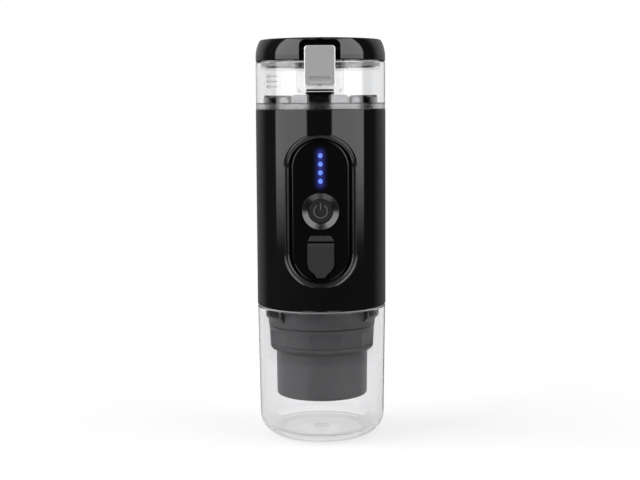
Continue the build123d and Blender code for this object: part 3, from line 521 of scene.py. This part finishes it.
def satin_silver(name, base, bright, marks):
    """Silver paint with a fine metal flake, with painted highlights along the edges, the foot and the
    groove line.
    """
    material, graph = new_finish(name)
    low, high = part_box("latch")
    half = (high.x - low.x) / 2
    thin = 0.1 * MM
    x, y, z = graph.axes(graph.place())
    flake = graph.noise(0.22 * MM, detail=3.0)
    cloud = graph.noise(6 * MM, detail=2.0)
    aside = abs(x - middle_of("latch").x)
    edge = graph.step(aside, half - marks.latch_edge, half - marks.latch_edge / 2)
    past = (aside - half + marks.latch_corner).math("MAXIMUM", 0)
    under = (low.z + marks.latch_lip + marks.latch_corner - z).math("MAXIMUM", 0)
    lip = graph.step(diagonal(past, under), marks.latch_corner - thin, marks.latch_corner + thin)
    inside = 1 - graph.step(aside, marks.groove_half - thin, marks.groove_half + thin)
    groove = low.z + marks.groove_level
    line = graph.band(z, groove - 0.2 * MM, groove + 0.2 * MM, thin) * inside
    # Painted highlight: the side edges, the lip at the foot and a line under the finger groove are mixed
    # towards bright silver.
    painted_highlight = (edge * 0.3).math("MAXIMUM", lip * 0.9).math("MAXIMUM", line * 0.45)
    paint = graph.tinted(base, 0.07, flake * 0.6 + cloud * 0.4)
    graph.surface(
        base_color=graph.mixed(painted_highlight, paint, solid(bright)),
        metallic=0.55,
        roughness=0.38 + (flake - 0.5) * 0.12,
        normal=graph.bump(flake, 0.004 * MM),
    )
    return material


def ringed(graph, pitch):
    """Fine rings round the button's axis, 0 to 1."""
    x, y, z = graph.axes(graph.place(Location=-middle_of("power_button")))
    return (diagonal(x, z) * (2 * pi / pitch)).math("SINE") * 0.5 + 0.5


def turned_ring(name, base):
    """Dark metal ring with the fine rings of a lathe."""
    material, graph = new_finish(name)
    rings = ringed(graph, 0.12 * MM)
    graph.surface(
        base_color=graph.tinted(base, 0.08, rings),
        metallic=0.9,
        roughness=0.16 + rings * 0.05,
        normal=graph.bump(rings, 0.0012 * MM),
    )
    return material


def spun_cap(name, base):
    """Satin cap with faint spun rings."""
    material, graph = new_finish(name)
    rings = ringed(graph, 0.2 * MM)
    speckle = graph.noise(0.2 * MM)
    graph.surface(
        base_color=graph.tinted(base, 0.1, speckle),
        roughness=0.46 + rings * 0.06,
        specular_ior_level=0.22,
        normal=graph.bump(rings * 0.5 + speckle, 0.004 * MM),
    )
    return material


def lit_panel(name, base, glow, reach):
    """Black panel on which the column of lights glows."""
    low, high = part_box("indicator_lights")
    front = reach_of("control_panel")
    material, graph = new_finish(name)
    x, y, z = graph.axes(graph.place())
    past = (abs(z - (low.z + high.z) / 2) - (high.z - low.z) / 2).math("MAXIMUM", 0)
    ahead = graph.step(-y, front - 0.5 * MM, front - 0.2 * MM)
    level = (1 - graph.step(diagonal(x, past), 0, reach)) ** 3 * ahead
    emission = graph.mixed(level, (0, 0, 0, 1), solid(glow))
    haze = graph.noise(9 * MM, detail=3.0)
    graph.surface(
        base_color=solid(base),
        roughness=0.10 + haze * 0.05,
        specular_ior_level=0.3,
        emission_color=emission,
        emission_strength=1.0,
        normal=graph.bump(graph.noise(8 * MM), 0.003 * MM),
    )
    return material


def lamp_lens(name, light):
    """Lit lens, whiter in the middle of each light."""
    low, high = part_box("indicator_lights")
    radius = (high.x - low.x) / 2
    material, graph = new_finish(name)
    x, y, z = graph.axes(graph.place())
    core = 1 - graph.step(abs(x), 0, radius)
    whiter = tuple(channel + (1 - channel) * 0.06 for channel in light)
    emission = graph.mixed(core, solid(light), solid(whiter))
    dark = solid([channel * 0.05 for channel in light])
    graph.surface(base_color=dark, roughness=0.3, emission_color=emission, emission_strength=1.0)
    return material


def banded_wrap(name, base, ring):
    """Shrink wrap of a cell, with its pale insulator at the top."""
    low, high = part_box("battery_cells")
    material, graph = new_finish(name)
    x, y, z = graph.axes(graph.place())
    top = graph.step(z, high.z - 2.2 * MM, high.z - 2.0 * MM)
    wrinkle = graph.noise(2.5 * MM, graph.place(Scale=(1, 1, 0.3)), 3.0)
    tone = graph.mixed(top, solid(base), solid(ring))
    graph.surface(base_color=tone, roughness=0.3 + wrinkle * 0.1, normal=graph.bump(wrinkle, 0.03 * MM))
    return material


def traced_board(name, base, copper):
    """Solder mask with the paler lines of its tracks."""
    material, graph = new_finish(name)
    cells = graph.node(
        "TexVoronoi", {"feature": "DISTANCE_TO_EDGE", "distance": "EUCLIDEAN"},
        {"Vector": graph.place(), "Scale": 1 / (3 * MM)}, "Distance",
    )
    track = 1 - graph.step(cells, 0.03, 0.06)
    tone = graph.mixed(track * 0.6, solid(base), solid(copper))
    graph.surface(base_color=tone, roughness=0.35, normal=graph.bump(track, 0.02 * MM))
    return material


class COFFEE_OT_shell(bpy.types.Operator):
    """Polished black body and lid"""

    bl_idname = "coffee.shell"
    bl_label = "Shell and lid"

    def execute(self, context):
        finish = context.scene.coffee_finish
        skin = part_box("body_shell")[1].x
        shell = polished_black("polished_shell", finish.shell_black, finish.shell_gloss, skin)
        finish_nodes(shell, "body_shell")
        finish_nodes(polished_black("polished_black", finish.shell_black, finish.shell_gloss), "lid_cover")
        return {"FINISHED"}


class COFFEE_OT_panel(bpy.types.Operator):
    """Control panel with its lights and their glow"""

    bl_idname = "coffee.panel"
    bl_label = "Control panel"

    def execute(self, context):
        finish = context.scene.coffee_finish
        marks = context.scene.coffee_marks
        material = lit_panel("lit_panel", finish.panel_black, finish.glow_blue, marks.glow_reach)
        finish_nodes(material, "control_panel")
        finish_nodes(lamp_lens("lamp_lens", finish.light_blue), "indicator_lights")
        return {"FINISHED"}


class COFFEE_OT_button(bpy.types.Operator):
    """Button ring, cap and the power sign on the cap"""

    bl_idname = "coffee.button"
    bl_label = "Power button"

    def execute(self, context):
        finish = context.scene.coffee_finish
        marks = context.scene.coffee_marks
        finish_nodes(turned_ring("turned_ring", finish.ring_grey), "button_bezel")
        finish_nodes(spun_cap("spun_cap", finish.cap_black), "power_button")
        sign = satin_grey("sign_grey", finish.sign_grey, grain=0.1 * MM)
        new_piece("power_sign", self.sign_shape(marks), sign, "power_button")
        return {"FINISHED"}

    def sign_shape(self, marks):
        """Arc and bar that follow the hollow of the cap."""
        shape = bmesh.new()
        half = marks.sign_stroke / 2
        bmesh.ops.create_circle(shape, cap_ends=True, segments=8, radius=half)
        turn = Matrix.Translation((marks.sign_radius, 0, 0)) @ Matrix.Rotation(pi / 2, 4, "X")
        bmesh.ops.transform(shape, matrix=turn, verts=shape.verts)
        start = Matrix.Rotation(pi / 2 - marks.sign_gap, 4, "Z")
        bmesh.ops.transform(shape, matrix=start, verts=shape.verts)
        bmesh.ops.spin(
            shape, geom=shape.faces[:] + shape.edges[:] + shape.verts[:], cent=(0, 0, 0), axis=(0, 0, -1),
            angle=2 * pi - 2 * marks.sign_gap, steps=72,
        )
        tall = marks.bar_high - marks.bar_low
        bar = bmesh.ops.create_cone(
            shape, cap_ends=True, segments=8, radius1=half, radius2=half, depth=tall,
        )["verts"]
        lift = Matrix.Translation((0, (marks.bar_high + marks.bar_low) / 2, 0))
        bmesh.ops.transform(shape, matrix=lift @ Matrix.Rotation(pi / 2, 4, "X"), verts=bar)
        bmesh.ops.recalc_face_normals(shape, faces=shape.faces[:])
        flat = marks.sign_rise / half
        centre = middle_of("power_button")
        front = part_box("power_button")[0].y
        for vert in shape.verts:
            x, up, out = vert.co
            away = min(Vector((x, up)).length / marks.cap_dish_radius, 1)
            hollow = marks.cap_dish * (1 - away)
            vert.co = (centre.x + x, front + hollow - out * flat, centre.z + up)
        return shape


class COFFEE_OT_port(bpy.types.Operator):
    """Rubber flap of the charging port and the socket behind it"""

    bl_idname = "coffee.port"
    bl_label = "Charging port"

    def execute(self, context):
        finish = context.scene.coffee_finish
        line = context.scene.coffee_marks.flap_line
        finish_nodes(lined_rubber("flap_rubber", finish.rubber_grey, line), "port_flap", "flap_anchor")
        finish_nodes(plain_metal("socket_metal", finish.steel, 0.25), "charge_socket")
        return {"FINISHED"}


class COFFEE_OT_clear(bpy.types.Operator):
    """Clear cup, water tank and lid plug"""

    bl_idname = "coffee.clear"
    bl_label = "Clear parts"

    def execute(self, context):
        finish = context.scene.coffee_finish
        marks = context.scene.coffee_marks
        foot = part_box("water_tank")[0].z + marks.tank_flange
        floor = marks.cup_floor, marks.floor_reach, finish.floor_tint_and_shade
        finish_nodes(clear_plastic("clear_cup", finish.cup_tint, finish.cup_ior, floor=floor), "cup")
        finish_nodes(clear_plastic("clear_liner", finish.tank_tint, finish.tank_ior), "lid_liner")
        finish_nodes(clear_plastic("clear_tank", finish.tank_tint, finish.tank_ior, foot), "water_tank")
        return {"FINISHED"}


class COFFEE_OT_scale(bpy.types.Operator):
    """Printed scale on the side of the tank"""

    bl_idname = "coffee.scale"
    bl_label = "Tank scale"

    def execute(self, context):
        finish = context.scene.coffee_finish
        marks = context.scene.coffee_marks
        ink = satin_grey("scale_ink", finish.scale_grey, grain=0.15 * MM)
        low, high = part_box("water_tank")
        self.radius = high.x + marks.print_rise
        shape = bmesh.new()
        for index in range(marks.scale_count):
            level = low.z + marks.scale_level + index * marks.scale_pitch
            self.add_line(shape, marks, level)
            self.add_number(shape, marks, str(marks.scale_first + index * marks.scale_step), level)
        new_piece("tank_scale", shape, ink, "machine")
        return {"FINISHED"}

    def wrapped(self, bearing, level):
        """Matrix that stands a flat drawing up against the tank's skin."""
        out = Matrix.Translation((0, -self.radius, level)) @ Matrix.Rotation(pi / 2, 4, "X")
        return Matrix.Rotation(bearing, 4, "Z") @ out

    def add_line(self, shape, marks, level):
        made = bmesh.ops.create_grid(shape, x_segments=8, y_segments=1, size=0.5)["verts"]
        bmesh.ops.scale(shape, vec=(marks.line_length, marks.line_height, 1), verts=made)
        self.curve(shape, made)
        bmesh.ops.transform(shape, matrix=self.wrapped(marks.line_bearing, level), verts=made)

    def add_number(self, shape, marks, text, level):
        drawn = bpy.data.curves.new("number", "FONT")
        drawn.body = text
        drawn.size = marks.number_height / NUMERAL_SHARE
        drawn.align_x = "CENTER"
        drawn.align_y = "CENTER"
        holder = bpy.data.objects.new("number", drawn)
        mesh = bpy.data.meshes.new_from_object(holder)
        before = set(shape.verts)
        shape.from_mesh(mesh)
        made = [vert for vert in shape.verts if vert not in before]
        bmesh.ops.scale(shape, vec=(marks.number_spread, 1, 1), verts=made)
        self.curve(shape, made)
        bmesh.ops.transform(shape, matrix=self.wrapped(marks.number_bearing, level), verts=made)
        bpy.data.objects.remove(holder)
        bpy.data.curves.remove(drawn)
        bpy.data.meshes.remove(mesh)

    def curve(self, shape, verts):
        """Bends a flat drawing to the tank's radius."""
        for vert in verts:
            around = vert.co.x / self.radius
            vert.co.z += self.radius * (cos(around) - 1)
            vert.co.x = self.radius * sin(around)


class COFFEE_OT_holder(bpy.types.Operator):
    """Grey capsule holder and base ring, brew head, nozzle and grip pads"""

    bl_idname = "coffee.holder"
    bl_label = "Holder and base"

    def execute(self, context):
        finish = context.scene.coffee_finish
        grey = satin_grey("satin_grey", finish.holder_grey)
        finish_nodes(grey, "holder_cup", "base_ring")
        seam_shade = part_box("holder_ring")[0].z + context.scene.coffee_marks.collar_line
        finish_nodes(satin_grey("seam_shaded_grey", finish.holder_grey, seam_shade=seam_shade), "holder_ring")
        finish_nodes(satin_grey("nozzle_black", finish.cap_black), "outlet_nozzle", "brew_head")
        finish_nodes(rubber("pad_rubber", finish.pad_black), "grip_pads")
        return {"FINISHED"}


class COFFEE_OT_latch(bpy.types.Operator):
    """Satin silver latch, pins of latch and lid, and the screws of the deck"""

    bl_idname = "coffee.latch"
    bl_label = "Latch and pins"

    def execute(self, context):
        finish = context.scene.coffee_finish
        marks = context.scene.coffee_marks
        silver = satin_silver("satin_silver", finish.latch_silver, finish.highlight_silver, marks)
        finish_nodes(silver, "latch")
        finish_nodes(plain_metal("pin_steel", finish.steel, 0.3), "lid_hinge_pin", "deck_screws")
        finish_nodes(plain_metal("pin_black", finish.cap_black, 0.4), "latch_pin")
        return {"FINISHED"}


class COFFEE_OT_ribs(bpy.types.Operator):
    """Dark ribs on the back of the latch's pocket, below the latch"""

    bl_idname = "coffee.ribs"
    bl_label = "Pocket ribs"

    def execute(self, context):
        finish = context.scene.coffee_finish
        marks = context.scene.coffee_marks
        back = marks.pocket_depth - reach_of("water_tank")
        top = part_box("latch")[0].z
        shape = bmesh.new()
        for height in (marks.rib_thin, marks.rib_thick):
            top -= marks.rib_gap
            made = bmesh.ops.create_cube(shape, size=1)["verts"]
            bmesh.ops.scale(shape, vec=(marks.rib_length, marks.rib_rise, height), verts=made)
            place = (0, back - marks.rib_seat - marks.rib_rise / 2, top - height / 2)
            bmesh.ops.translate(shape, vec=place, verts=made)
            top -= height
        bmesh.ops.bevel(
            shape, geom=shape.edges[:], offset=marks.rib_round, segments=2, profile=0.5, affect="EDGES",
            material=-1,
        )
        material = polished_black("rib_black", finish.shell_black, finish.shell_gloss)
        new_piece("pocket_ribs", shape, material, "machine")
        return {"FINISHED"}


class COFFEE_OT_steel(bpy.types.Operator):
    """Polished steel of the tank and of the coffee basket"""

    bl_idname = "coffee.steel"
    bl_label = "Steel parts"

    def execute(self, context):
        finish = context.scene.coffee_finish
        steel = turned_steel("turned_steel", finish.steel)
        finish_nodes(steel, "coffee_basket", "basket_filter", "shower_screen")
        finish_nodes(turned_steel("ring_steel", finish.ring_steel), "tank_ring", "heater_pan")
        return {"FINISHED"}


class COFFEE_OT_seals(bpy.types.Operator):
    """Silicone seals and hoses"""

    bl_idname = "coffee.seals"
    bl_label = "Seals and hoses"

    def execute(self, context):
        finish = context.scene.coffee_finish
        silicone = rubber("silicone", finish.seal_white, grain=0.6 * MM)
        finish_nodes(silicone, "brew_seal", "pan_seal", "lid_seal", "suction_hose", "pressure_hose")
        finish_nodes(rubber("seal_grey", finish.seal_grey, grain=0.6 * MM), "cup_seal")
        return {"FINISHED"}


class COFFEE_OT_works(bpy.types.Operator):
    """Board, cells, pump and heater inside the body"""

    bl_idname = "coffee.works"
    bl_label = "Works inside"

    def execute(self, context):
        finish = context.scene.coffee_finish
        finish_nodes(traced_board("traced_board", finish.board_green, finish.track_green), "control_board")
        finish_nodes(banded_wrap("banded_wrap", finish.wrap_blue, finish.wrap_white), "battery_cells")
        black = satin_grey("frame_black", finish.cap_black)
        finish_nodes(black, "chassis_deck", "cell_cradle_low", "cell_cradle_high", "tact_switch")
        finish_nodes(satin_grey("stand_beige", finish.stand_beige), "heater_stand")
        finish_nodes(satin_grey("pump_white", finish.pump_white), "pump_head")
        finish_nodes(plain_metal("motor_plate", finish.motor_steel, 0.3), "pump_motor")
        metal = plain_metal("heater_metal", finish.heater_grey, 0.45)
        finish_nodes(metal, "heating_element", "heat_sensor")
        return {"FINISHED"}


class COFFEE_OT_stage(bpy.types.Operator):
    """Floor, studio light and camera"""

    bl_idname = "coffee.stage"
    bl_label = "Stage"

    def execute(self, context):
        stage = context.scene.coffee_stage
        context.scene.view_settings.view_transform = "Standard"
        self.add_camera(context.scene, stage)
        self.add_studio(context.scene, stage)
        self.add_floor(context.scene, stage)
        return {"FINISHED"}

    def add_camera(self, scene, stage):
        camera = bpy.data.cameras.new("camera")
        camera.lens = stage.lens
        viewer = bpy.data.objects.new("camera", camera)
        orbit = Matrix.Rotation(stage.orbit, 3, "Z")
        turn = orbit @ Matrix.Rotation(pi / 2 - stage.tilt, 3, "X") @ Matrix.Rotation(stage.roll, 3, "Z")
        viewer.location = orbit @ Vector((stage.offset, -stage.distance, stage.height))
        viewer.rotation_euler = turn.to_euler()
        scene.collection.objects.link(viewer)
        scene.camera = viewer

    def add_studio(self, scene, stage):
        """White to the camera and through clear parts; softboxes, reflectors and walls to the rest."""
        world = bpy.data.worlds.new("studio")
        world.use_nodes = True
        scene.world = world
        graph = Graph(world.node_tree)
        x, y, z = graph.axes(graph.node("TexCoord", output="Generated"))
        turn = abs(graph.math("ARCTAN2", x, -y) + stage.box_turn)
        rise = z.math("ARCSINE")
        tall = self.softbox_height(graph, rise, stage) * stage.box_light
        boxes = graph.band(turn, stage.box_inner, stage.box_outer, stage.soft) * tall
        fill = graph.band(turn, stage.fill_inner, stage.fill_outer, 4 * stage.soft) * tall
        low = graph.window(turn, rise, stage.low_card, stage.soft) * stage.low_light
        high = graph.window(turn, rise, stage.high_card, stage.soft) * stage.high_light
        gloss = boxes + low + high + self.table(graph, turn, rise, stage) + stage.dark
        matt = fill * (stage.fill_level - x * stage.fill_lean) + stage.ambient
        glossy = self.reflected(graph)
        light = self.wings(graph, turn, rise, stage) + glossy * gloss + (1 - glossy) * matt
        behind = graph.step(turn, *stage.behind) * self.bounces(graph, "Transmission") * glossy
        seen = self.seen_directly(graph).math("MAXIMUM", behind)
        level = seen + (1 - seen) * light
        background = graph.node("Background", {}, {"Color": (1, 1, 1, 1), "Strength": level})
        graph.node("OutputWorld", {}, {"Surface": background})

    def softbox_height(self, graph, rise, stage):
        """How bright the softboxes are from their foot to their top, as a share."""
        foot, top, fade = stage.box_foot, stage.box_top, stage.box_fade
        heights = (foot, foot + stage.foot_fade, 0, fade, top, top + fade)
        levels = (0, stage.box_low, stage.box_low, 1, 1, stage.box_high)
        stops = [(height / pi + 0.5, level) for height, level in zip(heights, levels)]
        return graph.node("ValToRGB", {"stops": stops}, {"Fac": rise / pi + 0.5})

    def table(self, graph, turn, rise, stage):
        """The table in front of the machine, brighter at its front and dim in the middle."""
        front = 1 + (1 - graph.step(turn, *stage.table_bright)) * (stage.table_front - 1)
        near = stage.table_dim + graph.step(-rise, *stage.table_near) * (1 - stage.table_dim)
        middle = (1 - graph.step(turn, *stage.table_middle)) * near
        ahead = front * (1 - middle) * (1 - graph.step(turn, *stage.table_sides))
        return graph.step(-rise, *stage.table_far) * ahead * stage.table_light

    def wings(self, graph, turn, rise, stage):
        """Walls behind the machine on both sides, dimmer below the horizon."""
        above = stage.wing_low + graph.step(rise, *stage.wing_rise) * (1 - stage.wing_low)
        wide = graph.band(turn, stage.wing_inner, stage.wing_outer, 8 * stage.soft)
        return wide * above * stage.wing_light

    def bounces(self, graph, kind):
        """1 once a ray has been thrown back by gloss or a matt surface, or let through by a clear one."""
        return graph.node("LightPath", output=kind + " Depth").math("MINIMUM", 1)

    def reflected(self, graph):
        """1 for a ray that gloss has thrown back and no matt surface has scattered."""
        return self.bounces(graph, "Glossy") * (1 - self.bounces(graph, "Diffuse"))

    def seen_directly(self, graph):
        """1 for a ray straight from the camera, or one that has only passed through clear parts."""
        camera = graph.node("LightPath", output="Is Camera Ray")
        through = graph.node("LightPath", output="Is Transmission Ray")
        plain = (1 - self.bounces(graph, "Glossy")) * (1 - self.bounces(graph, "Diffuse"))
        return camera.math("MAXIMUM", through * plain)

    def add_floor(self, scene, stage):
        """Pale floor: its glow shows to the camera and through clear parts, its colour takes the shadow."""
        material, graph = new_finish("floor")
        seen = 1 - self.bounces(graph, "Diffuse")
        matt = graph.node("BsdfDiffuse", {}, {"Color": solid([stage.floor_white] * 3)})
        glow = graph.node("Emission", {}, {"Strength": stage.floor_glow})
        lit = graph.node("AddShader", {}, {0: matt, 1: glow})
        above = graph.node("MixShader", {}, {0: seen, 1: matt, 2: lit})
        below = graph.node("NewGeometry", output="Backfacing")
        clear = graph.node("BsdfTransparent")
        both = graph.node("MixShader", {}, {0: below, 1: above, 2: clear})
        graph.node("OutputMaterial", {}, {"Surface": both})
        shape = bmesh.new()
        bmesh.ops.create_circle(shape, cap_ends=True, segments=96, radius=stage.floor_radius)
        mesh = bpy.data.meshes.new("floor")
        shape.to_mesh(mesh)
        shape.free()
        mesh.materials.append(material)
        floor = bpy.data.objects.new("floor", mesh)
        floor.visible_glossy = False
        scene.collection.objects.link(floor)


class COFFEE_PT_parts(bpy.types.Panel):
    """Lists the pieces of the coffee machine and their settings"""

    bl_idname = "COFFEE_PT_parts"
    bl_label = "Portable Coffee Machine"
    bl_space_type = "VIEW_3D"
    bl_region_type = "UI"
    bl_category = "Coffee"

    def draw(self, context):
        for step in STEPS:
            self.layout.operator(step.bl_idname)
        for name in SETTINGS:
            box = self.layout.box()
            group = getattr(context.scene, name)
            for entry in group.bl_rna.properties:
                if entry.identifier not in ("rna_type", "name"):
                    box.prop(group, entry.identifier)


SETTINGS = {"coffee_finish": FinishSettings, "coffee_marks": MarkSettings, "coffee_stage": StageSettings}
STEPS = (
    COFFEE_OT_stage, COFFEE_OT_shell, COFFEE_OT_panel, COFFEE_OT_button, COFFEE_OT_port,
    COFFEE_OT_clear, COFFEE_OT_scale, COFFEE_OT_holder, COFFEE_OT_latch, COFFEE_OT_ribs,
    COFFEE_OT_steel, COFFEE_OT_seals, COFFEE_OT_works,
)


def register():
    for kind in (*SETTINGS.values(), *STEPS, COFFEE_PT_parts):
        bpy.utils.register_class(kind)
    for name, kind in SETTINGS.items():
        setattr(bpy.types.Scene, name, PointerProperty(type=kind))


def unregister():
    for name in SETTINGS:
        delattr(bpy.types.Scene, name)
    for kind in (COFFEE_PT_parts, *reversed(STEPS), *SETTINGS.values()):
        bpy.utils.unregister_class(kind)


def main():
    register()
    for step in STEPS:
        group, name = step.bl_idname.split(".")
        getattr(getattr(bpy.ops, group), name)()


if __name__ == "__main__":
    main()
